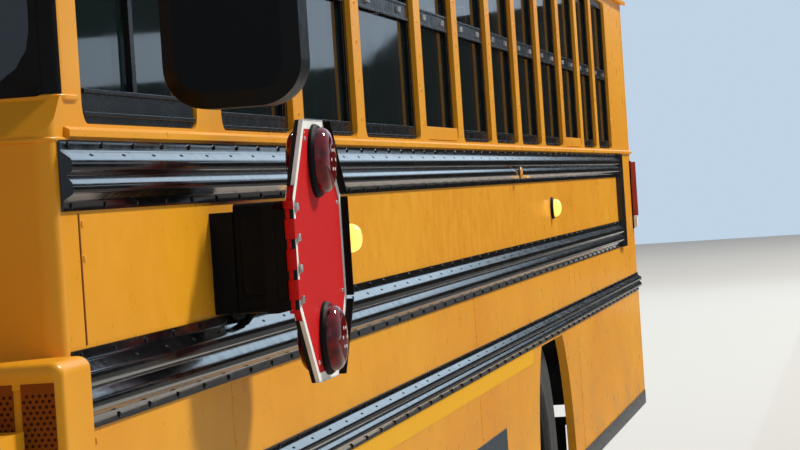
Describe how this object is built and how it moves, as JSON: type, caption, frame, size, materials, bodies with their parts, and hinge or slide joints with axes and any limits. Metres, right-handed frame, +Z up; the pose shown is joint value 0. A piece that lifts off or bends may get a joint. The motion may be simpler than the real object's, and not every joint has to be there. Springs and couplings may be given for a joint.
{
  "type": "hooded school bus",
  "caption": "Yellow hooded school bus with black rub rails, rows of sash windows, a swinging stop arm, folding entry door, rear exit and tilting hood.",
  "frame": {"origin": "on the ground under the middle of the bounding box", "axes": "+X forward, +Y to the driver's side (left), +Z up"},
  "size_m": [12.2, 3.172, 3.132],
  "materials": {
    "yellow_paint": "glossy enamel",
    "black_paint": "glossy enamel",
    "chassis_black": "satin",
    "cast_metal": "rough",
    "steel": "dull",
    "sash_black": "satin",
    "window_glass": "tinted",
    "floor_rubber": "ribbed",
    "seat_vinyl": "grained vinyl",
    "dash_plastic": "grained",
    "housing_plastic": "satin",
    "tyre_rubber": "matt",
    "rim_paint": "satin",
    "lamp_red": "clear",
    "lamp_clear": "clear",
    "sign_red": "reflective sheet",
    "grey_paint": "satin"
  },
  "bodies": {
    "body": {"frame_rails": "chassis_black", "crossmembers": "chassis_black", "front_bumper": "black_paint", "rear_bumper": "black_paint", "axles": "cast_metal", "leaf_springs": "chassis_black", "driveline": "cast_metal", "fuel_tank": "steel", "exhaust": "steel", "cabin_floor": "floor_rubber", "entry_steps": "floor_rubber", "left_wall": "yellow_paint", "right_wall": "yellow_paint", "entry_door_frame": "yellow_paint", "skirts": "yellow_paint", "roof_crown": "yellow_paint", "roof_eaves": "yellow_paint", "front_wall": "yellow_paint", "rear_wall": "yellow_paint", "cowl_vent_boxes": "yellow_paint", "rub_rails": "black_paint", "window_sashes": "sash_black", "cabin_glass": "window_glass", "warning_lamp_panels": "sash_black", "warning_lamps": "lamp_red", "tail_lamps": "lamp_red", "rear_view_mirrors": "housing_plastic", "stop_arm_housing": "housing_plastic", "seats": "seat_vinyl", "seat_frames": "chassis_black", "dashboard": "dash_plastic"},
    "stop_arm": {"stop_sign": "sign_red"},
    "entry_leaf_front": {"entry_door_front": "sash_black", "entry_glass_front": "window_glass"},
    "entry_leaf_rear": {"entry_door_rear": "sash_black", "entry_glass_rear": "window_glass"},
    "rear_emergency_door": {"rear_door": "yellow_paint", "rear_door_glass": "window_glass"},
    "hatch_front": {"roof_hatch_front": "grey_paint"},
    "hatch_rear": {"roof_hatch_rear": "grey_paint"},
    "hood": {"hood": "yellow_paint", "grille": "black_paint", "headlamps": "lamp_clear", "crossview_mirrors": "housing_plastic"},
    "steering_wheel": {"steering_wheel": "dash_plastic"},
    "knuckle_left": {"knuckle_left": "cast_metal"},
    "knuckle_right": {"knuckle_right": "cast_metal"},
    "wheel_front_left": {"tyre_front_left": "tyre_rubber", "rim_front_left": "rim_paint"},
    "wheel_front_right": {"tyre_front_right": "tyre_rubber", "rim_front_right": "rim_paint"},
    "wheels_rear_left": {"tyres_rear_left": "tyre_rubber", "rims_rear_left": "rim_paint"},
    "wheels_rear_right": {"tyres_rear_right": "tyre_rubber", "rims_rear_right": "rim_paint"}
  },
  "joints": [
    {"name": "front_left_steer", "type": "hinge", "parent": "body", "child": "knuckle_left", "pos_m": [5.07, 0.88, 0.525], "axis": [0, 0, 1], "range_deg": [-35, 35]},
    {"name": "front_right_steer", "type": "hinge", "parent": "body", "child": "knuckle_right", "pos_m": [5.07, -0.88, 0.525], "axis": [0, 0, 1], "range_deg": [-35, 35]},
    {"name": "steering_wheel_turn", "type": "hinge", "parent": "body", "child": "steering_wheel", "pos_m": [3.62, 0.52, 1.7], "axis": [-0.4695, 0, 0.8829], "range_deg": [-430, 430]},
    {"name": "front_left_spin", "type": "hinge", "parent": "knuckle_left", "child": "wheel_front_left", "pos_m": [5.07, 1.025, 0.525], "axis": [0, 1, 0], "continuous": true},
    {"name": "front_right_spin", "type": "hinge", "parent": "knuckle_right", "child": "wheel_front_right", "pos_m": [5.07, -1.025, 0.525], "axis": [0, 1, 0], "continuous": true},
    {"name": "rear_left_spin", "type": "hinge", "parent": "body", "child": "wheels_rear_left", "pos_m": [-2.02, 0.865, 0.525], "axis": [0, 1, 0], "continuous": true},
    {"name": "rear_right_spin", "type": "hinge", "parent": "body", "child": "wheels_rear_right", "pos_m": [-2.02, -0.865, 0.525], "axis": [0, 1, 0], "continuous": true},
    {"name": "stop_arm_swing", "type": "hinge", "parent": "body", "child": "stop_arm", "pos_m": [3.3565, 1.37, 1.457], "axis": [0, 0, -1], "range_deg": [0, 90]},
    {"name": "entry_front_leaf_swing", "type": "hinge", "parent": "body", "child": "entry_leaf_front", "pos_m": [4.11, -1.228, 1.4], "axis": [0, 0, 1], "range_deg": [0, 86]},
    {"name": "entry_rear_leaf_swing", "type": "hinge", "parent": "body", "child": "entry_leaf_rear", "pos_m": [3.35, -1.228, 1.4], "axis": [0, 0, -1], "range_deg": [0, 86]},
    {"name": "rear_door_swing", "type": "hinge", "parent": "body", "child": "rear_emergency_door", "pos_m": [-5.978, -0.48, 1.7], "axis": [0, 0, 1], "range_deg": [0, 110]},
    {"name": "hatch_front_lift", "type": "hinge", "parent": "body", "child": "hatch_front", "pos_m": [2.065, 0, 3.1], "axis": [0, 1, 0], "range_deg": [0, 60]},
    {"name": "hatch_rear_lift", "type": "hinge", "parent": "body", "child": "hatch_rear", "pos_m": [-2.875, 0, 3.1], "axis": [0, 1, 0], "range_deg": [0, 60]},
    {"name": "hood_tilt", "type": "hinge", "parent": "body", "child": "hood", "pos_m": [5.955, 0, 0.72], "axis": [0, 1, 0], "range_deg": [0, 75]}
  ],
  "couplings": [
    {"joint": "front_right_steer", "follows": "front_left_steer", "ratio": 1},
    {"joint": "steering_wheel_turn", "follows": "front_left_steer", "ratio": 12},
    {"joint": "entry_rear_leaf_swing", "follows": "entry_front_leaf_swing", "ratio": 1}
  ]
}
